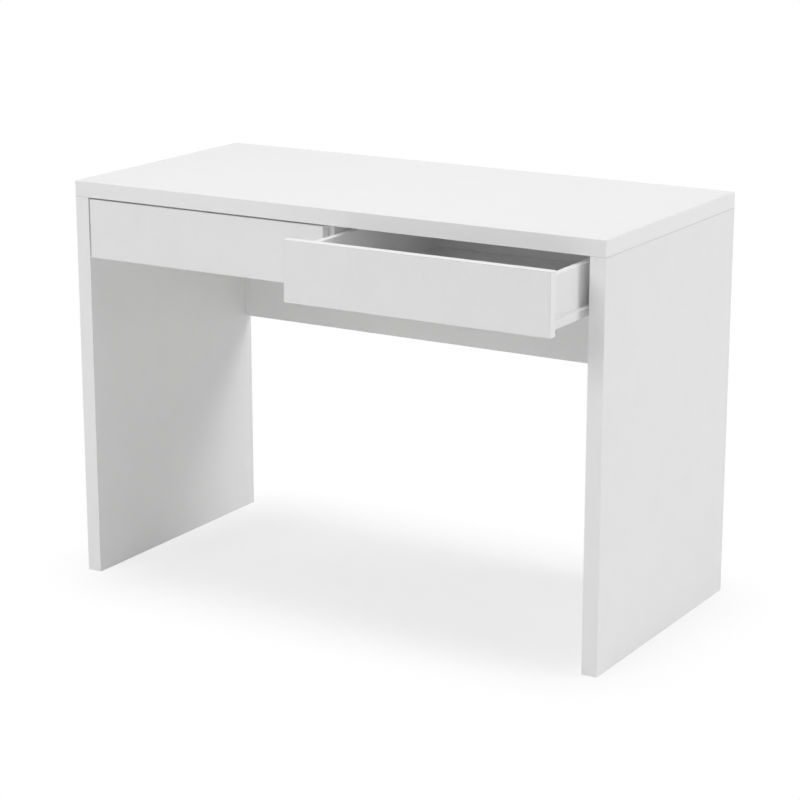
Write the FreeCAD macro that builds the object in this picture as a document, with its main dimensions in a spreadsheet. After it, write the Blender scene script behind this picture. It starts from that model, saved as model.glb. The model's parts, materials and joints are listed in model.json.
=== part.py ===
"""A white flat-pack computer desk: a board carcass with two drawers on roller runners.

X runs to the right, Y to the back and Z up, in millimetres. The right drawer stands part way open, and the
origin is on the floor, under the middle of the outline that this gives.
"""
import FreeCAD, Part
import os
import re
import Sketcher

SIZES = {
    # carcass boards
    "desk_width": 1050,
    "desk_depth": 500,
    "desk_height": 730,
    "top_thickness": 28,
    "side_thickness": 28,
    "back_thickness": 18,
    "back_height": 310,
    "divider_thickness": 18,
    "divider_rise": 4,
    "edge_round": 0.5,
    # glides under the side panels
    "glide_diameter": 20,
    "glide_thickness": 4,
    "glide_stand": 1,
    "glide_inset": 40,
    "glide_chamfer": 0.5,
    # drawer fronts
    "front_thickness": 16,
    "front_height": 105,
    "front_gap": 3,
    "front_clearance": 2,
    "front_lip": 8,
    "rest_opening": 124,
    "drawer_overlap": 110,
    # drawer boxes
    "box_side_thickness": 12,
    "box_drop": 11,
    "box_rear_gap": 16,
    "box_back_thickness": 12,
    "bottom_thickness": 3,
    "groove_depth": 5,
    "groove_rise": 6,
    "groove_play": 0.2,
    # roller runners
    "runner_gap": 12.5,
    "runner_sheet": 1.2,
    "runner_height": 18,
    "runner_wall_gap": 2.2,
    "track_gap": 0.7,
    "track_lip": 3,
    "flange_gap": 0.6,
    "roller_room": 2,
    "roller_inset": 12,
    "roller_diameter": 16,
    "roller_chamfer": 0.6,
    "roller_gap": 0.3,
    "roller_play": 0.2,
    "bore_clearance": 0.05,
    "front_roller_stand": 1,
    "roller_lip_gap": 0.4,
    "head_gap": 0.4,
    "rivet_diameter": 5,
    "rivet_head_diameter": 8,
    "rivet_head_thickness": 0.8,
    "stop_height": 4,
    "stop_gap": 0.5,
    # screws that hold the runners
    "runner_screw_diameter": 3.5,
    "runner_screw_length": 9.2,
    "runner_screw_head_diameter": 7,
    "runner_screw_head_thickness": 0.8,
    "screw_stagger": 20,
    # screws through the drawer sides into the drawer back
    "drawer_screw_diameter": 3.5,
    "drawer_screw_length": 28,
    "drawer_screw_head_diameter": 7,
    "drawer_screw_head_thickness": 2,
    "drawer_screw_inset": 20,
    # screws through the back panel into the divider
    "divider_screw_diameter": 5,
    "divider_screw_length": 45,
    "divider_screw_head_diameter": 10,
    "divider_screw_head_thickness": 3,
    "divider_screw_inset": 28,
    # cam fittings and dowels of the carcass
    "drill_line": 9,
    "bolt_inset": 60,
    "bolt_diameter": 6,
    "bolt_neck_diameter": 4,
    "bolt_thread": 11,
    "bolt_head": 3,
    "cam_distance": 34,
    "cam_diameter": 15,
    "cam_thickness": 12.5,
    "dowel_inset": 110,
    "dowel_diameter": 8,
    "dowel_length": 35,
    "dowel_in_face": 12,
    "dowel_chamfer": 1,
    # cam fittings and dowels of the drawers
    "drawer_bolt_drop": 26,
    "drawer_bolt_diameter": 5,
    "drawer_bolt_neck_diameter": 3,
    "drawer_bolt_thread": 9,
    "drawer_bolt_head": 2.5,
    "drawer_cam_distance": 24,
    "drawer_cam_diameter": 12,
    "drawer_cam_thickness": 9,
    "drawer_dowel_rise": 22,
    "drawer_dowel_diameter": 6,
    "drawer_dowel_length": 28,
    "drawer_dowel_in_face": 9,
    "drawer_dowel_chamfer": 0.8,
    # clearances of fasteners in their holes, and how far cuts run past an open edge
    "fastener_clearance": 0.1,
    "hole_end": 0.5,
    "overrun": 1,
}

# Lengths and places that follow from the sizes.
PLACES = {
    "half_width": "desk_width / 2",
    "front_y": "(rest_opening - desk_depth) / 2",
    "back_face_y": "front_y + desk_depth - back_thickness",
    "under_top": "desk_height - top_thickness",
    "side_height": "under_top - glide_stand",
    "inner_x": "half_width - side_thickness",
    "divider_x": "divider_thickness / 2",
    "inside_y": "front_thickness + front_clearance",
    "divider_depth": "desk_depth - back_thickness - inside_y",
    "divider_height": "front_gap + front_height - divider_rise",
    "bay_width": "inner_x - divider_x",
    "front_width": "inner_x - 1.5 * front_gap",
    "front_bottom": "under_top - front_gap - front_height",
    "box_bottom": "front_bottom + front_lip",
    "box_width": "bay_width - 2 * runner_gap",
    "box_inside": "box_width - 2 * box_side_thickness",
    "box_length": "desk_depth - back_thickness - front_thickness - box_rear_gap",
    "box_side_height": "front_height - front_lip - box_drop",
    "drawer_bolt_rise": "box_side_height - drawer_bolt_drop",
    "groove_height": "bottom_thickness + groove_play",
    "flange_under": "box_bottom + runner_height - runner_sheet",
    "roller_z": "flange_under - roller_gap - roller_diameter / 2",
    "track_z": "roller_z - roller_diameter / 2 - roller_gap",
    "track_bottom": "track_z - runner_sheet",
    "track_height": "flange_under + runner_sheet + flange_gap + runner_sheet - track_bottom",
    "track_reach": "runner_gap - runner_sheet - track_gap",
    "track_length": "box_length - front_clearance",
    "roller_bay": "roller_inset + roller_diameter / 2 + roller_room",
    "rear_roller_stand": "track_gap + runner_sheet + roller_lip_gap",
    "rear_roller_room": "roller_play + rivet_head_thickness + head_gap + runner_screw_head_thickness",
    "roller_width": "runner_gap - 2 * runner_sheet - rear_roller_stand - rear_roller_room",
    "rail_line": "(box_side_thickness - groove_depth) / 2",
    "stop_y": "drawer_overlap - roller_inset - roller_diameter / 2 - stop_gap - front_clearance",
}

WORD = re.compile(r"[a-z]\w*")
RUNNER_SCREW_SHARES = (0.18, 0.5, 0.8)
BACK_DOWEL_SHARES = (0.22, 0.78)
# a cross recess for the screwdriver, as shares of the head's diameter and thickness
CROSS_SPAN_SHARE = 0.6
CROSS_WIDTH_SHARE = 0.14
SCREW_CROSS_DEPTH_SHARE = 0.6
CAM_CROSS_DEPTH_SHARE = 0.2

doc = FreeCAD.newDocument("computer_desk")
sheet = doc.addObject("Spreadsheet::Sheet", "sizes")
for row, (word, number) in enumerate(SIZES.items(), start=1):
    sheet.set(f"A{row}", word)
    sheet.set(f"B{row}", str(number))
    sheet.setAlias(f"B{row}", word)
doc.recompute()

nodes = []
pockets = []


def formula(text):
    """Spells a formula of named sizes and places as an expression on the sheet's cells."""

    def spell(match):
        word = match.group()
        return f"({formula(PLACES[word])})" if word in PLACES else f"sizes.{word}"

    return WORD.sub(spell, text)


def value(text):
    return float(sheet.evalExpression(formula(text)))


def place(thing, spot, turn=FreeCAD.Rotation()):
    """Turns a sub-part and puts its own origin at a spot given by three formulas."""
    thing.Placement = FreeCAD.Placement(FreeCAD.Vector(), turn)
    for axis, text in zip("xyz", spot):
        thing.setExpression(f"Placement.Base.{axis}", formula(text))


def new_body(name):
    body = doc.addObject("PartDesign::Body", name)
    body.Label = name
    return body


def sketch_on(body, plane, lift="0"):
    """An empty sketch on one of the body's own origin planes, lifted along the plane's normal."""
    sketch = body.newObject("Sketcher::SketchObject", f"{body.Name}_sketch")
    base = next(feature for feature in body.Origin.OriginFeatures if feature.Role == plane)
    sketch.AttachmentSupport = [(base, "")]
    sketch.MapMode = "FlatFace"
    sketch.setExpression("AttachmentOffset.Base.z", formula(lift))
    return sketch


def tie(sketch, kind, geometry, point, text):
    """Constrains one coordinate of a point in a sketch to a formula."""
    index = sketch.addConstraint(Sketcher.Constraint(kind, geometry, point, value(text)))
    sketch.setExpression(f"Constraints[{index}]", formula(text))


def outline(sketch, corners):
    """Draws a closed outline of straight lines with every corner tied to its two formulas."""
    spots = [FreeCAD.Vector(value(u), value(v), 0) for u, v in corners]
    count = len(spots)
    for n, spot in enumerate(spots):
        sketch.addGeometry(Part.LineSegment(spot, spots[(n + 1) % count]))
    for n, (u, v) in enumerate(corners):
        sketch.addConstraint(Sketcher.Constraint("Coincident", n, 2, (n + 1) % count, 1))
        tie(sketch, "DistanceX", n, 1, u)
        tie(sketch, "DistanceY", n, 1, v)


def rectangle(u0, u1, v0, v1):
    return [(u0, v0), (u1, v0), (u1, v1), (u0, v1)]


def circles(sketch, diameter, spots):
    for u, v in spots:
        middle = FreeCAD.Vector(value(u), value(v), 0)
        circle = Part.Circle(middle, FreeCAD.Vector(0, 0, 1), value(diameter) / 2)
        n = sketch.addGeometry(circle)
        tie(sketch, "DistanceX", n, 3, u)
        tie(sketch, "DistanceY", n, 3, v)
        index = sketch.addConstraint(Sketcher.Constraint("Diameter", n, value(diameter)))
        sketch.setExpression(f"Constraints[{index}]", formula(diameter))


def pad(body, sketch, length, reverse=False):
    feature = body.newObject("PartDesign::Pad", f"{body.Name}_pad")
    feature.Profile = sketch
    feature.Reversed = reverse
    feature.setExpression("Length", formula(length))
    return feature


def pocket(body, sketch, depth, reverse=False):
    feature = body.newObject("PartDesign::Pocket", f"{body.Name}_pocket")
    feature.Profile = sketch
    feature.Reversed = reverse
    feature.setExpression("Length", formula(depth))
    pockets.append(feature)


class Board:
    """A rectangular board with its lowest corner at its own origin, worked from any of its six faces."""

    def __init__(self, name, size, spot, plane, rounded=True):
        wide, deep, tall = size
        self.body = new_body(name)
        corners = {"XY_Plane": (wide, deep), "YZ_Plane": (deep, tall), "XZ_Plane": (wide, tall)}[plane]
        thick = {"XY_Plane": tall, "YZ_Plane": wide, "XZ_Plane": deep}[plane]
        sketch = sketch_on(self.body, plane)
        outline(sketch, rectangle("0", corners[0], "0", corners[1]))
        blank = pad(self.body, sketch, thick, reverse=plane == "XZ_Plane")
        if rounded:
            self.round_edges(blank)
        place(self.body, spot)
        nodes.append(self.body)
        # plane, lift along its normal, and whether a cut runs along that normal
        self.faces = {
            "bottom": ("XY_Plane", "0", True),
            "top": ("XY_Plane", tall, False),
            "left": ("YZ_Plane", "0", True),
            "right": ("YZ_Plane", wide, False),
            "front": ("XZ_Plane", "0", False),
            "rear": ("XZ_Plane", f"-({deep})", True),
        }

    def round_edges(self, blank):
        feature = self.body.newObject("PartDesign::Fillet", f"{self.body.Name}_edges")
        feature.Base = (blank, [""])
        feature.UseAllEdges = True
        feature.setExpression("Radius", formula("edge_round"))

    def drill(self, face, diameter, depth, spots):
        plane, lift, along = self.faces[face]
        sketch = sketch_on(self.body, plane, lift)
        circles(sketch, diameter, spots)
        pocket(self.body, sketch, depth, along)

    def mill(self, face, corners, depth):
        plane, lift, along = self.faces[face]
        sketch = sketch_on(self.body, plane, lift)
        outline(sketch, corners)
        pocket(self.body, sketch, depth, along)


def turned(name, profile, spot, direction):
    """A piece turned about its own X axis from a profile of places along it and radii."""
    body = new_body(name)
    sketch = sketch_on(body, "XZ_Plane")
    outline(sketch, profile)
    spin = body.newObject("PartDesign::Revolution", f"{name}_turning")
    spin.Profile = sketch
    spin.ReferenceAxis = (sketch, ["H_Axis"])
    spin.Angle = 360
    place(body, spot, FreeCAD.Rotation(FreeCAD.Vector(1, 0, 0), FreeCAD.Vector(*direction)))
    return body


def hole(diameter):
    return f"{diameter} + 2 * fastener_clearance"


def group(name, members):
    """Separate solids of one kind, kept as one node."""
    bunch = doc.addObject("Part::Compound", name)
    bunch.Label = name
    bunch.Links = members
    nodes.append(bunch)


def cross_recess(body, diameter, depth):
    """Cuts a cross for the screwdriver into the face at a turned piece's own origin."""
    arm = f"{diameter} / 2 * {CROSS_SPAN_SHARE}"
    half = f"{diameter} / 2 * {CROSS_WIDTH_SHARE}"
    corners = []
    for u, v in ((1, 1), (-1, 1), (-1, -1), (1, -1)):
        shares = ((arm, half), (half, half), (half, arm))
        tips = [(f"{u} * {across}", f"{v} * {up}") for across, up in shares]
        corners += tips if u == v else tips[::-1]
    sketch = sketch_on(body, "YZ_Plane")
    outline(sketch, corners)
    pocket(body, sketch, depth, True)


def screw(kind, name, spot, direction):
    """A wood screw with a flat head. Its origin is the middle of the head's outer face."""
    head, shank = f"{kind}_head_diameter / 2", f"{kind}_diameter / 2"
    seat = f"{kind}_head_thickness"
    tip = f"{seat} + {kind}_length"
    shoulder = f"{tip} - {kind}_diameter"
    profile = [("0", "0"), ("0", head), (seat, head), (seat, shank), (shoulder, shank), (tip, "0")]
    body = turned(name, profile, spot, direction)
    cross_recess(body, f"{kind}_head_diameter", f"{seat} * {SCREW_CROSS_DEPTH_SHARE}")
    return body


def dowel(prefix, name, spot, direction):
    """A wooden dowel with chamfered ends. Its origin is on the joint, its short end in the face."""
    radius, edge = f"{prefix}dowel_diameter / 2", f"{prefix}dowel_chamfer"
    start = f"-{prefix}dowel_in_face"
    end = f"{prefix}dowel_length - {prefix}dowel_in_face"
    profile = [
        (start, "0"),
        (start, f"{radius} - {edge}"),
        (f"{start} + {edge}", radius),
        (f"{end} - {edge}", radius),
        (end, f"{radius} - {edge}"),
        (end, "0"),
    ]
    return turned(name, profile, spot, direction)


def cam_bolt(prefix, name, spot, direction):
    """A cam bolt. Its origin is on the joint, its thread behind it and its head in the middle of the cam."""
    radius, neck = f"{prefix}bolt_diameter / 2", f"{prefix}bolt_neck_diameter / 2"
    reach, half_head = f"{prefix}cam_distance", f"{prefix}bolt_head / 2"
    profile = [
        (f"-{prefix}bolt_thread", "0"),
        (f"-{prefix}bolt_thread", radius),
        (f"{reach} - {prefix}cam_diameter / 2", radius),
        (f"{reach} - {prefix}cam_diameter / 2", neck),
        (f"{reach} - {half_head}", neck),
        (f"{reach} - {half_head}", radius),
        (f"{reach} + {half_head}", radius),
        (f"{reach} + {half_head}", "0"),
    ]
    return turned(name, profile, spot, direction)


def cam_disc(prefix, line, name, spot, inward, to_bolt):
    """A cam disc. Its origin is the middle of its outer face; a bore from its rim takes the bolt's head."""
    radius = f"{prefix}cam_diameter / 2"
    thick = f"{prefix}cam_thickness"
    body = turned(name, [("0", "0"), ("0", radius), (thick, radius), (thick, "0")], spot, (1, 0, 0))
    depth = f"{prefix}bolt_head / 2 + fastener_clearance"
    sketch = sketch_on(body, "XY_Plane", f"-({depth})")
    circles(sketch, hole(f"{prefix}bolt_diameter"), [(line, "0")])
    pocket(body, sketch, f"{radius} + {depth} + overrun", True)
    cross_recess(body, f"{prefix}cam_diameter", f"{thick} * {CAM_CROSS_DEPTH_SHARE}")
    inward, to_bolt = FreeCAD.Vector(*inward), FreeCAD.Vector(*to_bolt)
    place(body, spot, FreeCAD.Rotation(inward, to_bolt.cross(inward), to_bolt, "XZY"))
    return body


bolts, cams, dowels, glides = [], [], [], []
runner_screws, front_rivets = [], []


def add_bolt(spot, direction):
    bolts.append(cam_bolt("", f"cam_bolt_{len(bolts)}", spot, direction))


def add_cam(spot, inward, to_bolt):
    cams.append(cam_disc("", "drill_line", f"cam_disc_{len(cams)}", spot, inward, to_bolt))


def add_dowel(spot, direction):
    dowels.append(dowel("", f"dowel_{len(dowels)}", spot, direction))


def two_insets(inset, length):
    """Two places along a board, equally far in from its two ends."""
    return inset, f"{length} - {inset}"


FACE_BOLT_HOLE = ("bolt_diameter", "bolt_thread + hole_end")
FACE_DOWEL_HOLE = ("dowel_diameter", "dowel_in_face + hole_end")
EDGE_BOLT_HOLE = ("bolt_diameter", "cam_distance")
EDGE_DOWEL_HOLE = ("dowel_diameter", "dowel_length - dowel_in_face + hole_end")
CAM_HOLE = ("cam_diameter", "cam_thickness + hole_end")
RUNNER_SCREW_HOLE = ("runner_screw_diameter", "runner_screw_length - runner_sheet + hole_end")


def bore(board, face, kind, spots):
    diameter, depth = kind
    board.drill(face, hole(diameter), depth, spots)


def tabletop():
    """The top lies on the sides and the divider, with their bolts and dowels in its underside."""
    size = ("desk_width", "desk_depth", "top_thickness")
    top = Board("tabletop", size, ("-half_width", "front_y", "under_top"), "XY_Plane")
    lines = ("side_thickness - drill_line", "desk_width - side_thickness + drill_line")
    middle = "half_width + divider_x - drill_line"
    for kind, inset in ((FACE_BOLT_HOLE, "bolt_inset"), (FACE_DOWEL_HOLE, "dowel_inset")):
        spots = [(x, y) for x in lines for y in two_insets(inset, "desk_depth")]
        spots += [(middle, f"inside_y + {y}") for y in two_insets(inset, "divider_depth")]
        bore(top, "bottom", kind, spots)
    rear = "desk_depth - drill_line"
    spots = [(f"side_thickness + 2 * inner_x * {share}", rear) for share in BACK_DOWEL_SHARES]
    bore(top, "bottom", FACE_DOWEL_HOLE, spots)


def side_panel(name, hand):
    """A full-depth side panel, standing on two glides. Hand is -1 on the left and 1 on the right."""
    outer_x = "-half_width" if hand < 0 else "inner_x"
    inner_face = "right" if hand < 0 else "left"
    inner_x = f"{hand} * inner_x"
    line = "side_thickness - drill_line" if hand < 0 else "drill_line"
    size = ("side_thickness", "desk_depth", "side_height")
    panel = Board(name, size, (outer_x, "front_y", "glide_stand"), "YZ_Plane")
    for y in two_insets("bolt_inset", "desk_depth"):
        joint = (f"{outer_x} + {line}", f"front_y + {y}", "under_top")
        add_bolt(joint, (0, 0, -1))
        add_cam((inner_x, joint[1], "under_top - cam_distance"), (hand, 0, 0), (0, 0, 1))
    bore(panel, "top", EDGE_BOLT_HOLE, [(line, y) for y in two_insets("bolt_inset", "desk_depth")])
    cam_spots = [(y, "side_height - cam_distance") for y in two_insets("bolt_inset", "desk_depth")]
    bore(panel, inner_face, CAM_HOLE, cam_spots)
    for y in two_insets("dowel_inset", "desk_depth"):
        add_dowel((f"{outer_x} + {line}", f"front_y + {y}", "under_top"), (0, 0, -1))
    bore(panel, "top", EDGE_DOWEL_HOLE, [(line, y) for y in two_insets("dowel_inset", "desk_depth")])
    # the back panel's ends butt against the inner face
    rear = "desk_depth - drill_line"
    base = "side_height - back_height"
    for kind, inset in ((FACE_BOLT_HOLE, "bolt_inset"), (FACE_DOWEL_HOLE, "dowel_inset")):
        bore(panel, inner_face, kind, [(rear, f"{base} + {z}") for z in two_insets(inset, "back_height")])
    bore(panel, inner_face, RUNNER_SCREW_HOLE, [
        (f"inside_y + {y}", "roller_z - glide_stand") for y in screw_places(-hand)])
    middle = "side_thickness / 2"
    for y in two_insets("glide_inset", "desk_depth"):
        spot = (f"{outer_x} + {middle}", f"front_y + {y}", "0")
        glides.append(glide(f"floor_glide_{len(glides)}", spot))
    panel.drill("bottom", hole("glide_diameter"), "glide_thickness - glide_stand", [
        (middle, y) for y in two_insets("glide_inset", "desk_depth")])


def glide(name, spot):
    """A round plastic glide let into the bottom edge, with a chamfer where it meets the floor."""
    radius = "glide_diameter / 2"
    profile = [
        ("0", "0"),
        ("0", f"{radius} - glide_chamfer"),
        ("glide_chamfer", radius),
        ("glide_thickness", radius),
        ("glide_thickness", "0"),
    ]
    return turned(name, profile, spot, (0, 0, 1))


def back_panel():
    """The modesty panel between the sides, bolted at its ends and dowelled to the top."""
    size = ("2 * inner_x", "back_thickness", "back_height")
    panel = Board("back_panel", size, ("-inner_x", "back_face_y", "under_top - back_height"), "XZ_Plane")
    line = "back_thickness - drill_line"
    row_y = "back_face_y + back_thickness - drill_line"
    for hand, face in ((-1, "left"), (1, "right")):
        joint_x = f"{hand} * inner_x"
        for z in two_insets("bolt_inset", "back_height"):
            row_z = f"under_top - back_height + {z}"
            add_bolt((joint_x, row_y, row_z), (-hand, 0, 0))
            cam_x = f"{hand} * (inner_x - cam_distance)"
            add_cam((cam_x, "back_face_y + back_thickness", row_z), (0, -1, 0), (hand, 0, 0))
        for z in two_insets("dowel_inset", "back_height"):
            add_dowel((joint_x, row_y, f"under_top - back_height + {z}"), (-hand, 0, 0))
        bore(panel, face, EDGE_BOLT_HOLE, [(line, z) for z in two_insets("bolt_inset", "back_height")])
        bore(panel, face, EDGE_DOWEL_HOLE, [(line, z) for z in two_insets("dowel_inset", "back_height")])
    heights = two_insets("bolt_inset", "back_height")
    cam_spots = [(x, z) for x in two_insets("cam_distance", "2 * inner_x") for z in heights]
    bore(panel, "rear", CAM_HOLE, cam_spots)
    top_spots = [f"2 * inner_x * {share}" for share in BACK_DOWEL_SHARES]
    for x in top_spots:
        add_dowel((f"{x} - inner_x", row_y, "under_top"), (0, 0, -1))
    bore(panel, "top", EDGE_DOWEL_HOLE, [(x, line) for x in top_spots])
    # countersunk through holes for the divider's screws
    rises = two_insets("divider_screw_inset", "divider_height")
    spots = [("inner_x", f"back_height - divider_height + {rise}") for rise in rises]
    panel.drill("rear", hole("divider_screw_head_diameter"), "divider_screw_head_thickness", spots)
    panel.drill("rear", hole("divider_screw_diameter"), "back_thickness", spots)


def centre_divider():
    """The board between the two drawers, hung from the top and screwed on through the back panel."""
    size = ("divider_thickness", "divider_depth", "divider_height")
    base = "under_top - divider_height"
    divider = Board("centre_divider", size, ("-divider_x", "front_y + inside_y", base), "YZ_Plane")
    line = "divider_thickness - drill_line"
    row_x = "divider_x - drill_line"
    for y in two_insets("bolt_inset", "divider_depth"):
        row_y = f"front_y + inside_y + {y}"
        add_bolt((row_x, row_y, "under_top"), (0, 0, -1))
        add_cam(("divider_x", row_y, "under_top - cam_distance"), (-1, 0, 0), (0, 0, 1))
    for y in two_insets("dowel_inset", "divider_depth"):
        add_dowel((row_x, f"front_y + inside_y + {y}", "under_top"), (0, 0, -1))
    bore(divider, "top", EDGE_BOLT_HOLE, [(line, y) for y in two_insets("bolt_inset", "divider_depth")])
    bore(divider, "top", EDGE_DOWEL_HOLE, [(line, y) for y in two_insets("dowel_inset", "divider_depth")])
    cam_spots = [(y, "divider_height - cam_distance") for y in two_insets("bolt_inset", "divider_depth")]
    bore(divider, "right", CAM_HOLE, cam_spots)
    for face, hand in (("left", -1), ("right", 1)):
        spots = [(y, f"roller_z - ({base})") for y in screw_places(hand)]
        bore(divider, face, RUNNER_SCREW_HOLE, spots)
    screw_heights = two_insets("divider_screw_inset", "divider_height")
    depth = "divider_screw_head_thickness + divider_screw_length - back_thickness + hole_end"
    divider.drill("rear", hole("divider_screw_diameter"), depth, [("divider_x", z) for z in screw_heights])
    screws = []
    for z in screw_heights:
        spot = ("0", "back_face_y + back_thickness", f"{base} + {z}")
        screws.append(screw("divider_screw", f"divider_screw_{len(screws)}", spot, (0, -1, 0)))
    group("divider_screws", screws)


def screw_places(hand):
    """Runner screws from a runner's front end; opposite runners on one board use staggered holes."""
    stagger = "screw_stagger" if hand > 0 else "0"
    return [f"box_length * {share} + {stagger}" for share in RUNNER_SCREW_SHARES]


def mirrored(hand, corners):
    return [(f"{hand} * ({u})", v) for u, v in corners]


def cabinet_runner(name, wall_x, hand):
    """The channel screwed to a wall. Hand is 1 where the drawer lies to the right of the wall."""
    body = new_body(name)
    inside = "track_reach - runner_sheet"
    lip = "runner_sheet + track_lip"
    under = "track_height - runner_sheet"
    channel = [
        ("0", "0"), ("track_reach", "0"), ("track_reach", lip), (inside, lip), (inside, "runner_sheet"),
        ("runner_sheet", "runner_sheet"), ("runner_sheet", under), ("track_reach", under),
        ("track_reach", "track_height"), ("0", "track_height"),
    ]
    sketch = sketch_on(body, "XZ_Plane")
    outline(sketch, mirrored(hand, channel))
    pad(body, sketch, "track_length", True)
    # only the web runs forward past the roller
    notch = sketch_on(body, "XY_Plane", "track_height")
    corners = rectangle("runner_sheet", "track_reach + overrun", "-overrun", "roller_bay")
    outline(notch, mirrored(hand, corners))
    pocket(body, notch, "track_height")
    # a tab on the track stops the drawer's roller
    stop = sketch_on(body, "XY_Plane", "runner_sheet")
    outline(stop, mirrored(hand, rectangle("runner_sheet", inside, "stop_y - runner_sheet", "stop_y")))
    pad(body, stop, "stop_height")
    web = sketch_on(body, "YZ_Plane")
    axle_z = "roller_z - track_bottom"
    circles(web, hole("rivet_diameter"), [("roller_inset", axle_z)])
    circles(web, hole("runner_screw_diameter"), [(y, axle_z) for y in screw_places(hand)])
    pocket(body, web, "runner_sheet", hand > 0)
    front = "front_y + inside_y"
    place(body, (wall_x, front, "track_bottom"))
    nodes.append(body)
    axle = (wall_x, f"{front} + roller_inset", "roller_z")
    front_rivets.append(rivet(f"front_rivet_{len(front_rivets)}", "front_roller_stand", axle, (hand, 0, 0)))
    head = f"{wall_x} + {hand} * (runner_sheet + runner_screw_head_thickness)"
    for y in screw_places(hand):
        label = f"cabinet_screw_{len(runner_screws)}"
        spot = (head, f"{front} + {y}", "roller_z")
        runner_screws.append(screw("runner_screw", label, spot, (-hand, 0, 0)))
    return (f"{wall_x} + {hand} * (runner_sheet + front_roller_stand)", axle[1], "roller_z")


def drawer_runner(name, wall_x, hand, start_y):
    """The rail under a drawer side, with a flange that rides on the front roller."""
    body = new_body(name)
    web = "runner_gap - runner_sheet"
    reach = "runner_gap + box_side_thickness"
    top = "runner_height + runner_sheet"
    rail = [
        ("runner_wall_gap", top), ("runner_gap", top), ("runner_gap", "runner_sheet"),
        (reach, "runner_sheet"), (reach, "0"), (web, "0"),
        (web, "runner_height"), ("runner_wall_gap", "runner_height"),
    ]
    sketch = sketch_on(body, "XZ_Plane")
    outline(sketch, mirrored(hand, rail))
    pad(body, sketch, "box_length", True)
    # the flange ends ahead of the rear roller
    notch = sketch_on(body, "XY_Plane", top)
    corners = rectangle("runner_wall_gap - overrun", web, "box_length - roller_bay", "box_length + overrun")
    outline(notch, mirrored(hand, corners))
    pocket(body, notch, "runner_sheet")
    holes = sketch_on(body, "YZ_Plane", f"{hand} * runner_gap")
    axle_z = "roller_z - box_bottom + runner_sheet"
    circles(holes, hole("rivet_diameter"), [("box_length - roller_inset", axle_z)])
    pocket(body, holes, "runner_sheet", hand < 0)
    line = f"{hand} * (runner_gap + rail_line)"
    flange = sketch_on(body, "XY_Plane")
    circles(flange, hole("runner_screw_diameter"), [(line, y) for y in screw_places(hand)])
    pocket(body, flange, "runner_sheet", True)
    place(body, (wall_x, start_y, "box_bottom - runner_sheet"))
    nodes.append(body)
    face_x = f"{wall_x} + {hand} * runner_gap"
    axle = (face_x, f"{start_y} + box_length - roller_inset", "roller_z")
    axle_pin = rivet(f"{name}_rivet", "rear_roller_stand", axle, (-hand, 0, 0))
    head = "box_bottom - runner_sheet - runner_screw_head_thickness"
    screws = []
    for y in screw_places(hand):
        spot = (f"{wall_x} + {line}", f"{start_y} + {y}", head)
        screws.append(screw("runner_screw", f"{name}_screw_{len(screws)}", spot, (0, 0, 1)))
    roller_spot = (f"{face_x} - {hand} * (runner_sheet + rear_roller_stand)", axle[1], "roller_z")
    return axle_pin, screws, roller_spot


def rivet(name, stand, spot, direction):
    """A shouldered rivet that is a roller's axle. Its origin is the back of the web that it is set in."""
    shank, head = "rivet_diameter / 2", "rivet_head_diameter / 2"
    shoulder = f"runner_sheet + {stand} - roller_play"
    end = f"runner_sheet + {stand} + roller_width + roller_play"
    profile = [
        ("0", "0"), ("0", shank), ("runner_sheet", shank), ("runner_sheet", head), (shoulder, head),
        (shoulder, shank), (end, shank), (end, head), (f"{end} + rivet_head_thickness", head),
        (f"{end} + rivet_head_thickness", "0"),
    ]
    return turned(name, profile, spot, direction)


def roller(name, spot, hand):
    """A nylon roller that runs on its rivet. Its origin is the middle of the face beside the web."""
    rim, inside, edge = "roller_diameter / 2", "rivet_diameter / 2 + bore_clearance", "roller_chamfer"
    profile = [
        ("0", inside), ("0", f"{rim} - {edge}"), (edge, rim), (f"roller_width - {edge}", rim),
        ("roller_width", f"{rim} - {edge}"), ("roller_width", inside),
    ]
    nodes.append(turned(name, profile, spot, (hand, 0, 0)))


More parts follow.
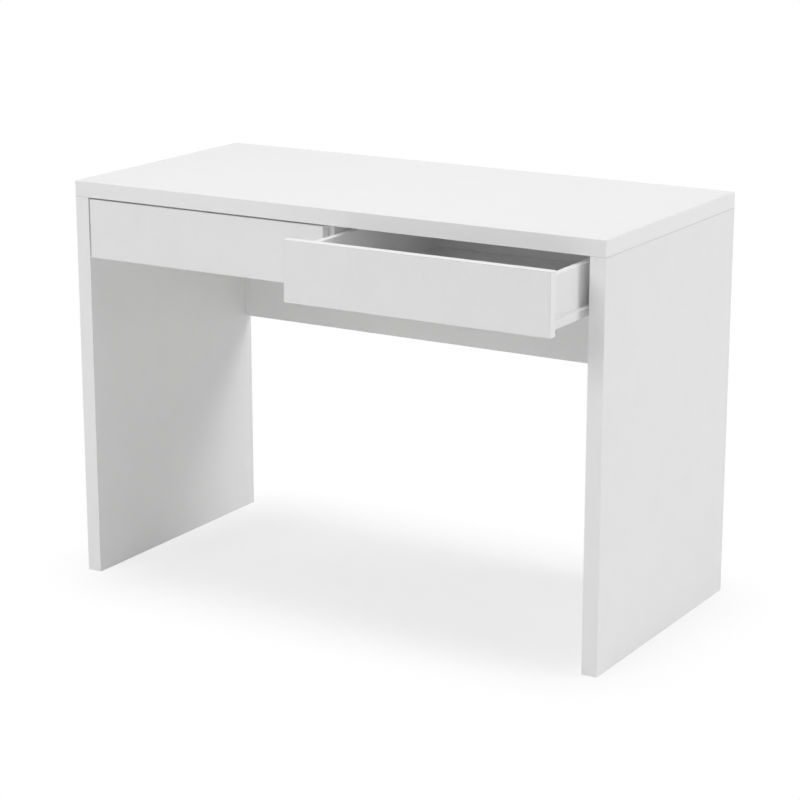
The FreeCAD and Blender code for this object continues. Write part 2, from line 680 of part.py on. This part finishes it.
def drawer(side, bay_x, front_x, face_y):
    """A drawer: its front, two sides, back and bottom, their fittings, and the two rails under the sides."""
    name = f"{side}_drawer"
    start_y = f"{face_y} + front_thickness"
    box_x = f"{bay_x} + runner_gap"
    front_size = ("front_width", "front_thickness", "front_height")
    front = Board(f"{name}_front", front_size, (front_x, face_y, "front_bottom"), "XZ_Plane")
    groove_z = ("front_lip + groove_rise", "front_lip + groove_rise + groove_height")
    groove_x = f"{box_x} + box_side_thickness - groove_depth - ({front_x})"
    groove_end = f"{groove_x} + box_inside + 2 * groove_depth"
    front.mill("rear", rectangle(groove_x, groove_end, *groove_z), "groove_depth")
    line = "box_side_thickness / 2"
    lines = (f"{box_x} + {line}", f"{box_x} + box_width - {line}")
    for rise, kind in (
        ("drawer_bolt_rise", ("drawer_bolt_diameter", "drawer_bolt_thread + hole_end")),
        ("drawer_dowel_rise", ("drawer_dowel_diameter", "drawer_dowel_in_face + hole_end")),
    ):
        bore(front, "rear", kind, [(f"{x} - ({front_x})", f"front_lip + {rise}") for x in lines])

    screws, pins, drawer_bolts, drawer_cams, drawer_dowels, back_screws = [], [], [], [], [], []
    back_base = "groove_rise + bottom_thickness"
    back_height = f"box_side_height - ({back_base})"
    back_rises = two_insets("drawer_screw_inset", back_height)
    back_y = "box_length - box_back_thickness / 2"
    for hand, hand_name, x, wall_x in (
        (1, "left", box_x, bay_x),
        (-1, "right", f"{box_x} + box_width - box_side_thickness", f"{bay_x} + bay_width"),
    ):
        inner, outer = ("right", "left") if hand > 0 else ("left", "right")
        size = ("box_side_thickness", "box_length", "box_side_height")
        board = Board(f"{name}_{hand_name}_side", size, (x, start_y, "box_bottom"), "YZ_Plane")
        groove = rectangle("-overrun", "box_length + overrun", "groove_rise", "groove_rise + groove_height")
        board.mill(inner, groove, "groove_depth")
        bore(board, "front", ("drawer_bolt_diameter", "drawer_cam_distance"), [(line, "drawer_bolt_rise")])
        dowel_depth = "drawer_dowel_length - drawer_dowel_in_face + hole_end"
        bore(board, "front", ("drawer_dowel_diameter", dowel_depth), [(line, "drawer_dowel_rise")])
        cam_hole = ("drawer_cam_diameter", "drawer_cam_thickness + hole_end")
        bore(board, inner, cam_hole, [("drawer_cam_distance", "drawer_bolt_rise")])
        rail_x = "rail_line" if hand > 0 else "box_side_thickness - rail_line"
        bore(board, "bottom", RUNNER_SCREW_HOLE, [(rail_x, y) for y in screw_places(hand)])
        screw_spots = [(back_y, f"{back_base} + {z}") for z in back_rises]
        bore(board, outer, ("drawer_screw_head_diameter", "drawer_screw_head_thickness"), screw_spots)
        bore(board, outer, ("drawer_screw_diameter", "box_side_thickness"), screw_spots)

        joint = (f"{x} + {line}", start_y)
        label = f"{name}_{hand_name}"
        bolt_z = "box_bottom + drawer_bolt_rise"
        drawer_bolts.append(cam_bolt("drawer_", f"{label}_bolt", (*joint, bolt_z), (0, 1, 0)))
        inner_x = f"{x} + box_side_thickness" if hand > 0 else x
        cam_spot = (inner_x, f"{start_y} + drawer_cam_distance", bolt_z)
        drawer_cams.append(cam_disc("drawer_", line, f"{label}_cam", cam_spot, (-hand, 0, 0), (0, -1, 0)))
        dowel_spot = (*joint, "box_bottom + drawer_dowel_rise")
        drawer_dowels.append(dowel("drawer_", f"{label}_dowel", dowel_spot, (0, 1, 0)))
        outer_x = x if hand > 0 else f"{x} + box_side_thickness"
        for n, z in enumerate(back_rises):
            spot = (outer_x, f"{start_y} + {back_y}", f"box_bottom + {back_base} + {z}")
            back_screws.append(screw("drawer_screw", f"{label}_back_screw_{n}", spot, (hand, 0, 0)))

        place_name = "outer" if (side == "left") == (hand > 0) else "inner"
        runner = f"{side}_{place_name}"
        front_spot = cabinet_runner(f"{runner}_cabinet_runner", wall_x, hand)
        pin, rail_screws, rear_spot = drawer_runner(f"{runner}_drawer_runner", wall_x, hand, start_y)
        roller(f"{runner}_front_roller", front_spot, hand)
        roller(f"{runner}_rear_roller", rear_spot, -hand)
        pins.append(pin)
        screws += rail_screws

    inside_x = f"{box_x} + box_side_thickness"
    back_size = ("box_inside", "box_back_thickness", back_height)
    back_spot = (inside_x, f"{start_y} + box_length - box_back_thickness", f"box_bottom + {back_base}")
    back = Board(f"{name}_back", back_size, back_spot, "XZ_Plane")
    depth = "drawer_screw_head_thickness + drawer_screw_length - box_side_thickness + hole_end"
    screw_spots = [("box_back_thickness / 2", z) for z in back_rises]
    for face in ("left", "right"):
        bore(back, face, ("drawer_screw_diameter", depth), screw_spots)

    let_in = "groove_depth - groove_play"
    bottom_size = (f"box_inside + 2 * ({let_in})", f"box_length + {let_in}", "bottom_thickness")
    bottom_spot = (f"{inside_x} - ({let_in})", f"{start_y} - ({let_in})", "box_bottom + groove_rise")
    Board(f"{name}_bottom", bottom_size, bottom_spot, "XY_Plane", rounded=False)

    group(f"{name}_runner_screws", screws)
    group(f"{name}_roller_rivets", pins)
    group(f"{name}_cam_bolts", drawer_bolts)
    group(f"{name}_cam_discs", drawer_cams)
    group(f"{name}_dowels", drawer_dowels)
    group(f"{name}_back_screws", back_screws)


def check():
    """Stops before anything is written if an object failed, a cut missed or a sub-part is no valid solid."""
    for thing in doc.Objects:
        if {"Invalid", "Error"} & set(thing.State):
            raise RuntimeError(f"{thing.Label} failed: {thing.State}")
    for cut in pockets:
        if cut.Shape.Volume >= cut.BaseFeature.Shape.Volume:
            raise RuntimeError(f"{cut.Label} cuts nothing")
    for node in nodes:
        if node.Shape.isNull() or not node.Shape.isValid() or not node.Shape.Solids:
            raise RuntimeError(f"{node.Label} has no valid solid")


tabletop()
side_panel("left_side_panel", -1)
side_panel("right_side_panel", 1)
back_panel()
centre_divider()
drawer("left", "-inner_x", "front_gap - inner_x", "front_y")
drawer("right", "divider_x", "front_gap / 2", "front_y - rest_opening")
group("cam_bolts", bolts)
group("cam_discs", cams)
group("dowels", dowels)
group("floor_glides", glides)
group("cabinet_runner_screws", runner_screws)
group("cabinet_roller_rivets", front_rivets)

doc.recompute()
check()
os.makedirs("parts", exist_ok=True)
for node in nodes:
    node.Shape.exportStep(f"parts/{node.Label}.step")
print(len(nodes), "nodes,", sum(len(node.Shape.Solids) for node in nodes), "solids")
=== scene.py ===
"""The looks of a white computer desk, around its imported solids. Metres, X right, Y back, Z up."""
import json
import math

import bpy
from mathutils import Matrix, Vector


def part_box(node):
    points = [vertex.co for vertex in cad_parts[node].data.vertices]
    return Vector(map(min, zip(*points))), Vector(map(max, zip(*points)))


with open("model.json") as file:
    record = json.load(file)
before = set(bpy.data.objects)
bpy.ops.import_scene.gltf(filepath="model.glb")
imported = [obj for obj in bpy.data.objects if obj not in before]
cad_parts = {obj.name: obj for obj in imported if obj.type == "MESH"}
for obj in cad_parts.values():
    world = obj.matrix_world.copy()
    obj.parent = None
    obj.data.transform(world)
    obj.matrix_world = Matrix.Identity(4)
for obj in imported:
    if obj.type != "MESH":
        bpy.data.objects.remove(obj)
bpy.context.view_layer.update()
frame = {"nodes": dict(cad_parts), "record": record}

nodes = frame["nodes"]
MM = 0.001
X, Y, Z = 0, 1, 2

# The camera, in the photograph's place: degrees, metres, and a lens for a 36 mm sensor.
CAMERA_AIM = Vector((0.002, 0.056, 0.343))
CAMERA_AZIMUTH = 31.1
CAMERA_ELEVATION = 15.1
CAMERA_DISTANCE = 4.32
CAMERA_LENS = 108.4
SENSOR_WIDTH = 36.0

# Studio light. The floor's own white grows from a share under the desk to all of it further out.
SKY_STRENGTH = 0.325
LIGHT_BOUNCES = 12
FLOOR_SIZE = 40.0
FLOOR_WHITE_SHARE = 0.60
SHADE_CENTRE = Vector((0.01, 0.05, 0.0))
SHADE_HALF = Vector((0.40, 0.14, 0.0))
SHADE_FADE = 0.28

# Board sizes in millimetres.
EDGE_BAND = 1.0
GLUE_LINE = 0.35
# the height of the painted shade at the joint under the top
SEAM_SHADE = 1.0

# How much less rough the edge band is, and the cosine from which a face counts as facing along an axis.
BAND_SMOOTHER = 0.10
FACING_COSINE = 0.7

# Most of a noise pattern lies between these two values.
NOISE_LOW = 0.3
NOISE_HIGH = 0.7

# The mixing node's sockets, by number, because those for numbers and for colours share their names.
FACTOR = 0
NUMBER_A, NUMBER_B = 2, 3
COLOUR_A, COLOUR_B = 6, 7
MIXED_COLOUR = 2


def linear(colour):
    """Linear RGBA of an sRGB hex colour."""
    channels = [int(colour[n:n + 2], 16) / 255 for n in (1, 3, 5)]
    return [c / 12.92 if c <= 0.04045 else ((c + 0.055) / 1.055) ** 2.4 for c in channels] + [1.0]


def add(tree, kind, settings=None, links=None):
    """Adds a node. Settings are properties and socket values, and links are the sockets it reads."""
    node = tree.nodes.new(kind)
    for key, setting in (settings or {}).items():
        if isinstance(key, str) and hasattr(node, key):
            setattr(node, key, setting)
        else:
            node.inputs[key].default_value = setting
    for key, source in (links or {}).items():
        tree.links.new(source, node.inputs[key])
    return node


def per_metre(millimetres):
    """The scale of a pattern whose features are this far apart."""
    return 1 / (millimetres * MM)


def new_material(name, **sockets):
    """A material with plain values on its shader's sockets. Returns it, its tree and its coordinates."""
    material = bpy.data.materials.new(name)
    material.use_nodes = True
    tree = material.node_tree
    for socket, setting in sockets.items():
        tree.nodes["Principled BSDF"].inputs[socket].default_value = setting
    return material, tree, add(tree, "ShaderNodeTexCoord").outputs


def wire(tree, colour, roughness, relief, strength, depth):
    """Leads nodes for colour, roughness and relief to the shader. The relief's depth is in millimetres."""
    shader = tree.nodes["Principled BSDF"]
    bump = add(tree, "ShaderNodeBump", {
        "Strength": strength, "Distance": depth * MM,
    }, {"Height": relief.outputs[0]})
    tree.links.new(colour.outputs[MIXED_COLOUR], shader.inputs["Base Color"])
    tree.links.new(roughness.outputs[0], shader.inputs["Roughness"])
    tree.links.new(bump.outputs[0], shader.inputs["Normal"])


def skin(tree, tone, deep, pale, wear, smooth, rough, relief, strength, depth):
    """Wires an even surface: tone leads from a deep colour to a pale one, and wear from smooth to rough."""
    colour = add(tree, "ShaderNodeMix", {
        "data_type": "RGBA", COLOUR_A: linear(deep), COLOUR_B: linear(pale),
    }, {FACTOR: tone.outputs[0]})
    roughness = add(tree, "ShaderNodeMapRange", {
        "To Min": smooth, "To Max": rough,
    }, {"Value": wear.outputs[0]})
    wire(tree, colour, roughness, relief, strength, depth)


def dress(name, material):
    """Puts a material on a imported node."""
    for slot in nodes[name].material_slots:
        slot.material = material


def from_edge(tree, spot, low, high):
    """How far a point of a board lies from the nearest edge: the middle one of its three insets."""
    from_low = add(tree, "ShaderNodeVectorMath", {"operation": "SUBTRACT", 1: low}, {0: spot})
    from_high = add(tree, "ShaderNodeVectorMath", {"operation": "SUBTRACT", 0: high}, {1: spot})
    inset = add(tree, "ShaderNodeVectorMath", {"operation": "MINIMUM"}, {
        0: from_low.outputs[0], 1: from_high.outputs[0],
    })
    x, y, z = add(tree, "ShaderNodeSeparateXYZ", links={0: inset.outputs[0]}).outputs
    least = add(tree, "ShaderNodeMath", {"operation": "MINIMUM"}, {0: x, 1: y})
    most = add(tree, "ShaderNodeMath", {"operation": "MAXIMUM"}, {0: x, 1: y})
    rest = add(tree, "ShaderNodeMath", {"operation": "MINIMUM"}, {0: most.outputs[0], 1: z})
    return add(tree, "ShaderNodeMath", {"operation": "MAXIMUM"}, {
        0: least.outputs[0], 1: rest.outputs[0],
    }).outputs[0]


def edge_banding(tree, place, low, high, thick_axis):
    """Where a board shows its plastic edge band, and where it shows the glue line beside the band.

    The band covers the narrow faces and is a thin rim on the wide ones, where its lighter colour is also
    a painted highlight along the edges. Only the wide ones show the line.
    """
    edge = from_edge(tree, place["Object"], low, high)
    across = add(tree, "ShaderNodeSeparateXYZ", links={0: place["Normal"]}).outputs[thick_axis]
    facing = add(tree, "ShaderNodeMath", {"operation": "ABSOLUTE"}, {0: across})
    wide = add(tree, "ShaderNodeMath", {
        "operation": "GREATER_THAN", 1: FACING_COSINE,
    }, {0: facing.outputs[0]})

    rim = add(tree, "ShaderNodeMath", {"operation": "LESS_THAN", 1: EDGE_BAND * MM}, {0: edge})
    narrow = add(tree, "ShaderNodeMath", {"operation": "SUBTRACT", 0: 1.0}, {1: wide.outputs[0]})
    band = add(tree, "ShaderNodeMath", {"operation": "MAXIMUM"}, {
        0: rim.outputs[0], 1: narrow.outputs[0],
    })

    past = add(tree, "ShaderNodeMath", {"operation": "SUBTRACT", 1: EDGE_BAND * MM}, {0: edge})
    away = add(tree, "ShaderNodeMath", {"operation": "ABSOLUTE"}, {0: past.outputs[0]})
    near = add(tree, "ShaderNodeMapRange", {
        "interpolation_type": "SMOOTHSTEP",
        "From Min": 0.0, "From Max": GLUE_LINE * MM, "To Min": 1.0, "To Max": 0.0,
    }, {"Value": away.outputs[0]})
    line = add(tree, "ShaderNodeMath", {"operation": "MULTIPLY"}, {
        0: near.outputs[0], 1: wide.outputs[0],
    })
    return band.outputs[0], line.outputs[0]


def melamine_faced_chipboard(name, thick_axis, carries_top):
    """White melamine paper pressed on chipboard, with a 1 mm plastic band on every edge.

    The press plate leaves a fine pearl on the faces, so they shine softly and never mirror. The band is a
    touch smoother and lighter, its lighter rim on the faces also a painted highlight along the edges, and a
    hair-thin glue line parts it from the face. Where the board carries the desk's top, the shadow in the
    open joint between the two is painted as a grey line.
    """
    material, tree, place = new_material(f"melamine_faced_chipboard_{name}", IOR=1.52)
    spot = place["Object"]
    low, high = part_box(name)
    band, line = edge_banding(tree, place, low, high, thick_axis)

    # faint clouds in the paper, 90 mm and 7 mm across
    cloud = add(tree, "ShaderNodeTexNoise", {
        "Scale": per_metre(90), "Detail": 3.0, "Roughness": 0.6,
    }, {"Vector": spot})
    speck = add(tree, "ShaderNodeTexNoise", {"Scale": per_metre(7), "Detail": 2.0}, {"Vector": spot})
    mottle = add(tree, "ShaderNodeMix", {FACTOR: 0.35}, {
        NUMBER_A: cloud.outputs[0], NUMBER_B: speck.outputs[0],
    })
    paper = add(tree, "ShaderNodeMapRange", {
        "From Min": NOISE_LOW, "From Max": NOISE_HIGH,
    }, {"Value": mottle.outputs[0]})
    face = add(tree, "ShaderNodeMix", {
        "data_type": "RGBA", COLOUR_A: linear("#EFEFEF"), COLOUR_B: linear("#F3F3F3"),
    }, {FACTOR: paper.outputs[0]})
    # the band's own lighter white; on the 1 mm rim of the wide faces it is also a painted highlight along
    # the edges
    banded_and_highlighted = add(tree, "ShaderNodeMix", {"data_type": "RGBA", COLOUR_B: linear("#F4F4F4")}, {
        FACTOR: band, COLOUR_A: face.outputs[MIXED_COLOUR],
    })
    colour = add(tree, "ShaderNodeMix", {"data_type": "RGBA", COLOUR_B: linear("#D5D4D1")}, {
        FACTOR: line, COLOUR_A: banded_and_highlighted.outputs[MIXED_COLOUR],
    })
    # painted shade: the top 1 mm of a side panel is darkened to grey for the shadow in the open joint under
    # the top
    if carries_top:
        height = add(tree, "ShaderNodeSeparateXYZ", links={0: spot}).outputs[Z]
        painted_seam_shade = add(tree, "ShaderNodeMapRange", {
            "interpolation_type": "SMOOTHSTEP", "From Min": high[Z] - SEAM_SHADE * MM, "From Max": high[Z],
        }, {"Value": height})
        colour = add(tree, "ShaderNodeMix", {"data_type": "RGBA", COLOUR_B: linear("#C2C2C0")}, {
            FACTOR: painted_seam_shade.outputs[0], COLOUR_A: colour.outputs[MIXED_COLOUR],
        })

    dull = add(tree, "ShaderNodeMapRange", {
        "From Min": NOISE_LOW, "From Max": NOISE_HIGH, "To Min": 0.40, "To Max": 0.50,
    }, {"Value": cloud.outputs[0]})
    roughness = add(tree, "ShaderNodeMath", {"operation": "MULTIPLY_ADD", 1: -BAND_SMOOTHER}, {
        0: band, 2: dull.outputs[0],
    })
    # the pearl is 0.4 mm across on the real board, drawn 1.6 mm across so that it shows
    pearl = add(tree, "ShaderNodeTexNoise", {"Scale": per_metre(1.6), "Detail": 1.0}, {"Vector": spot})
    wire(tree, colour, roughness, pearl, strength=0.12, depth=0.05)
    dress(name, material)


def foil_wrapped_fibreboard():
    """White paper foil folded round fibreboard: even, a little greyer than melamine, dry to the eye."""
    material, tree, place = new_material("foil_wrapped_fibreboard", IOR=1.48)
    spot = place["Object"]
    # the paper's fibres are too fine to show, so they are drawn 2.5 mm wide and about 20 mm long
    drawn_out = add(tree, "ShaderNodeVectorMath", {
        "operation": "MULTIPLY", 1: (1.0, 0.12, 1.0),
    }, {0: spot})
    fibre = add(tree, "ShaderNodeTexNoise", {
        "Scale": per_metre(2.5), "Detail": 4.0,
    }, {"Vector": drawn_out.outputs[0]})
    cloud = add(tree, "ShaderNodeTexNoise", {"Scale": per_metre(60), "Detail": 2.0}, {"Vector": spot})
    mottle = add(tree, "ShaderNodeMix", {FACTOR: 0.5}, {
        NUMBER_A: cloud.outputs[0], NUMBER_B: fibre.outputs[0],
    })
    tone = add(tree, "ShaderNodeMapRange", {
        "From Min": NOISE_LOW, "From Max": NOISE_HIGH,
    }, {"Value": mottle.outputs[0]})
    skin(
        tree, tone, deep="#EEEEEE", pale="#F3F3F3", wear=mottle, smooth=0.46, rough=0.58,
        relief=fibre, strength=0.10, depth=0.05,
    )
    return material


def lacquered_hardboard():
    """Hardboard lacquered white above, smooth and even, and backed with pale grey paper below.

    The press screen's mesh shows through the backing.
    """
    material, tree, place = new_material("lacquered_hardboard", IOR=1.5)
    spot = place["Object"]
    up = add(tree, "ShaderNodeSeparateXYZ", links={0: place["Normal"]}).outputs[Z]
    below = add(tree, "ShaderNodeMath", {"operation": "LESS_THAN", 1: -FACING_COSINE}, {0: up})
    cloud = add(tree, "ShaderNodeTexNoise", {"Scale": per_metre(40), "Detail": 3.0}, {"Vector": spot})
    chip = add(tree, "ShaderNodeTexNoise", {
        "Scale": per_metre(3), "Detail": 5.0, "Roughness": 0.7,
    }, {"Vector": spot})
    white = add(tree, "ShaderNodeMix", {
        "data_type": "RGBA", COLOUR_A: linear("#F0F0F0"), COLOUR_B: linear("#F5F5F5"),
    }, {FACTOR: cloud.outputs[0]})
    backing = add(tree, "ShaderNodeMix", {
        "data_type": "RGBA", COLOUR_A: linear("#D6D6D4"), COLOUR_B: linear("#E2E2E0"),
    }, {FACTOR: chip.outputs[0]})
    colour = add(tree, "ShaderNodeMix", {"data_type": "RGBA"}, {
        FACTOR: below.outputs[0],
        COLOUR_A: white.outputs[MIXED_COLOUR],
        COLOUR_B: backing.outputs[MIXED_COLOUR],
    })
    roughness = add(tree, "ShaderNodeMapRange", {
        "To Min": 0.42, "To Max": 0.77,
    }, {"Value": below.outputs[0]})
    mesh = add(tree, "ShaderNodeTexChecker", {"Scale": per_metre(1.6)}, {"Vector": spot})
    relief = add(tree, "ShaderNodeMix", links={
        FACTOR: below.outputs[0], NUMBER_A: cloud.outputs[0], NUMBER_B: mesh.outputs["Fac"],
    })
    wire(tree, colour, roughness, relief, strength=0.2, depth=0.1)
    return material


def powder_coated_steel():
    """Sheet steel under baked white powder: a smooth skin with a soft orange peel and a low gloss."""
    material, tree, place = new_material("powder_coated_steel", IOR=1.55)
    spot = place["Object"]
    peel = add(tree, "ShaderNodeTexNoise", {"Scale": per_metre(1.8), "Detail": 1.0}, {"Vector": spot})
    cloud = add(tree, "ShaderNodeTexNoise", {"Scale": per_metre(25), "Detail": 3.0}, {"Vector": spot})
    skin(
        tree, cloud, deep="#ECECEC", pale="#F3F3F3", wear=cloud, smooth=0.28, rough=0.42,
        relief=peel, strength=0.25, depth=0.05,
    )
    return material


def moulded_nylon():
    """Natural nylon from a mould: milky grey-white and waxy, with fine rub marks from running."""
    material, tree, place = new_material("moulded_nylon", IOR=1.53)
    spot = place["Object"]
    cloud = add(tree, "ShaderNodeTexNoise", {"Scale": per_metre(4), "Detail": 3.0}, {"Vector": spot})
    rub = add(tree, "ShaderNodeTexNoise", {"Scale": per_metre(0.8), "Detail": 2.0}, {"Vector": spot})
    skin(
        tree, cloud, deep="#C4C5C3", pale="#D2D2CF", wear=rub, smooth=0.32, rough=0.55,
        relief=rub, strength=0.15, depth=0.04,
    )
    return material


def zinc(name, deep, pale, smooth, rough, grain):
    """Bare zinc, as a bright plated film on screws and bolts or as a dull casting in the cams.

    The film takes a faint blue from its sealing dip, in patches, and the casting shows a fine grain. The
    grain, in millimetres, is drawn coarser than the real one so that it shows.
    """
    material, tree, place = new_material(name, Metallic=1.0)
    spot = place["Object"]
    patch = add(tree, "ShaderNodeTexNoise", {"Scale": per_metre(3), "Detail": 3.0}, {"Vector": spot})
    grit = add(tree, "ShaderNodeTexNoise", {"Scale": per_metre(grain), "Detail": 2.0}, {"Vector": spot})
    skin(
        tree, patch, deep, pale, wear=grit, smooth=smooth, rough=rough,
        relief=grit, strength=0.2, depth=0.03,
    )
    return material


def turned_beech():
    """Steamed beech: pinkish tan, with a fine grain and short dark flecks."""
    material, tree, place = new_material("turned_beech", IOR=1.5)
    spot = place["Object"]
    grain = add(tree, "ShaderNodeTexNoise", {"Scale": per_metre(1.2), "Detail": 5.0}, {"Vector": spot})
    fleck = add(tree, "ShaderNodeTexVoronoi", {"Scale": per_metre(1.5)}, {"Vector": spot})
    tone = add(tree, "ShaderNodeMix", {FACTOR: 0.3}, {
        NUMBER_A: grain.outputs[0], NUMBER_B: fleck.outputs[0],
    })
    skin(
        tree, tone, deep="#B98E62", pale="#D9B488", wear=tone, smooth=0.55, rough=0.75,
        relief=grain, strength=0.3, depth=0.05,
    )
    return material


def moulded_polyethylene():
    """White polyethylene from a mould: waxy, and scuffed by the floor."""
    material, tree, place = new_material("moulded_polyethylene", IOR=1.51)
    scuff = add(tree, "ShaderNodeTexNoise", {
        "Scale": per_metre(1.5), "Detail": 4.0,
    }, {"Vector": place["Object"]})
    skin(
        tree, scuff, deep="#CFCFCC", pale="#DEDEDB", wear=scuff, smooth=0.45, rough=0.65,
        relief=scuff, strength=0.2, depth=0.05,
    )
    return material


def dress_all():
    """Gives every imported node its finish. The boards are listed with the axis of their thickness."""
    boards = {
        "tabletop": Z, "left_side_panel": X, "right_side_panel": X, "back_panel": Y, "centre_divider": X,
        "left_drawer_front": Y, "right_drawer_front": Y,
    }
    for name, thick_axis in boards.items():
        melamine_faced_chipboard(name, thick_axis, carries_top=name.endswith("side_panel"))
    plated = zinc("zinc_plated_steel", deep="#BFC5CC", pale="#D5D8DC", smooth=0.22, rough=0.40, grain=0.6)
    cast = zinc("die_cast_zinc", deep="#A9ABAD", pale="#BDBFC1", smooth=0.40, rough=0.58, grain=0.4)
    finishes = {
        "drawer_box_board": foil_wrapped_fibreboard(),
        "drawer_bottom_board": lacquered_hardboard(),
        "runner_steel": powder_coated_steel(),
        "roller_nylon": moulded_nylon(),
        "zinc_plated_steel": plated,
        "beech_dowel": turned_beech(),
        "glide_plastic": moulded_polyethylene(),
    }
    for part in frame["record"]["subparts"]:
        name, slot = part["node"], part["material_slot"]
        if name not in boards:
            dress(name, cast if name.endswith("cam_discs") else finishes[slot])


def from_desk(azimuth, elevation, distance):
    """A place round the desk. Azimuth 0 is in front of it and 90 to its right."""
    a, e = math.radians(azimuth), math.radians(elevation)
    way = Vector((math.sin(a) * math.cos(e), -math.cos(a) * math.cos(e), math.sin(e)))
    return CAMERA_AIM + distance * way


def face_desk(thing, azimuth, elevation, distance):
    """Adds a camera or a lamp to the scene, turned to the desk from a place round it."""
    bpy.context.collection.objects.link(thing)
    thing.location = from_desk(azimuth, elevation, distance)
    thing.rotation_mode = "QUATERNION"
    thing.rotation_quaternion = (CAMERA_AIM - thing.location).to_track_quat("-Z", "Y")


def place_camera():
    """The photograph's camera, with no lens shift."""
    data = bpy.data.cameras.new("camera")
    data.sensor_width = SENSOR_WIDTH
    data.lens = CAMERA_LENS
    camera = bpy.data.objects.new("camera", data)
    face_desk(camera, CAMERA_AZIMUTH, CAMERA_ELEVATION, CAMERA_DISTANCE)
    bpy.context.scene.camera = camera


def softbox(name, azimuth, elevation, distance, size, watts, mirrored=True):
    """A square soft lamp that faces the desk. One that isn't mirrored leaves no shine on the boards."""
    data = bpy.data.lights.new(name, "AREA")
    data.size = size
    data.energy = watts
    lamp = bpy.data.objects.new(name, data)
    lamp.visible_camera = False
    lamp.visible_glossy = mirrored
    face_desk(lamp, azimuth, elevation, distance)


def seen_rays(tree):
    """1 for rays from the eye, also off a shiny or clear surface, and 0 for rays that gather light."""
    path = add(tree, "ShaderNodeLightPath").outputs
    shiny = add(tree, "ShaderNodeMath", {"operation": "MAXIMUM"}, {
        0: path["Is Camera Ray"], 1: path["Is Glossy Ray"],
    })
    return add(tree, "ShaderNodeMath", {"operation": "MAXIMUM"}, {
        0: shiny.outputs[0], 1: path["Is Transmission Ray"],
    }).outputs[0]


def white_sky():
    """A sky that the eye sees as white, and that lights the desk at a lower strength."""
    world = bpy.data.worlds.new("white_sky")
    bpy.context.scene.world = world
    world.use_nodes = True
    tree = world.node_tree
    strength = add(tree, "ShaderNodeMapRange", {
        "To Min": SKY_STRENGTH, "To Max": 1.0,
    }, {"Value": seen_rays(tree)})
    sky = tree.nodes["Background"]
    sky.inputs["Color"].default_value = linear("#FFFFFF")
    tree.links.new(strength.outputs[0], sky.inputs["Strength"])


def studio_floor():
    """A matt white sweep, to the eye partly white of its own, so that the desk's shadow stays pale."""
    bpy.ops.mesh.primitive_plane_add(size=FLOOR_SIZE, location=SHADE_CENTRE)
    floor = bpy.context.object
    floor.name = "studio_floor"
    material = bpy.data.materials.new("white_paper_sweep")
    material.use_nodes = True
    tree = material.node_tree
    tree.nodes.remove(tree.nodes["Principled BSDF"])
    spot = add(tree, "ShaderNodeTexCoord").outputs["Object"]

    # the paper's tooth, drawn coarser than it is
    tooth = add(tree, "ShaderNodeTexNoise", {"Scale": per_metre(3), "Detail": 2.0}, {"Vector": spot})
    colour = add(tree, "ShaderNodeMix", {
        "data_type": "RGBA", COLOUR_A: linear("#FBFBFB"), COLOUR_B: linear("#FDFDFD"),
    }, {FACTOR: tooth.outputs[0]})
    matt = add(tree, "ShaderNodeBsdfDiffuse", links={"Color": colour.outputs[MIXED_COLOUR]})
    white = add(tree, "ShaderNodeEmission", {"Color": linear("#FFFFFF"), "Strength": 1.0})

    # how far a point lies outside a rectangle under the desk
    side = add(tree, "ShaderNodeVectorMath", {"operation": "ABSOLUTE"}, {0: spot})
    beyond = add(tree, "ShaderNodeVectorMath", {
        "operation": "SUBTRACT", 1: SHADE_HALF,
    }, {0: side.outputs[0]})
    past = add(tree, "ShaderNodeVectorMath", {
        "operation": "MAXIMUM", 1: (0.0, 0.0, 0.0),
    }, {0: beyond.outputs[0]})
    away = add(tree, "ShaderNodeVectorMath", {"operation": "LENGTH"}, {0: past.outputs[0]})
    own = add(tree, "ShaderNodeMapRange", {
        "interpolation_type": "SMOOTHSTEP",
        "From Min": 0.0, "From Max": SHADE_FADE, "To Min": FLOOR_WHITE_SHARE, "To Max": 1.0,
    }, {"Value": away.outputs["Value"]})
    share = add(tree, "ShaderNodeMath", {"operation": "MULTIPLY"}, {
        0: own.outputs[0], 1: seen_rays(tree),
    })
    mixed = add(tree, "ShaderNodeMixShader", links={
        0: share.outputs[0], 1: matt.outputs[0], 2: white.outputs[0],
    })
    tree.links.new(mixed.outputs[0], tree.nodes["Material Output"].inputs["Surface"])
    floor.data.materials.append(material)


dress_all()
place_camera()
white_sky()
studio_floor()
softbox("side_lamp", azimuth=105, elevation=21, distance=8.0, size=2.2, watts=180)
softbox("front_lamp", azimuth=-20, elevation=31, distance=8.0, size=4.0, watts=180)
softbox("top_lamp", azimuth=0, elevation=88, distance=3.0, size=2.0, watts=32)
softbox("rear_lamp", azimuth=205, elevation=6, distance=5.0, size=1.4, watts=30, mirrored=False)
bpy.context.scene.view_settings.view_transform = "Standard"
# white boards hand light on many times, and that is what lights the drawer's inside
bpy.context.scene.cycles.diffuse_bounces = LIGHT_BOUNCES
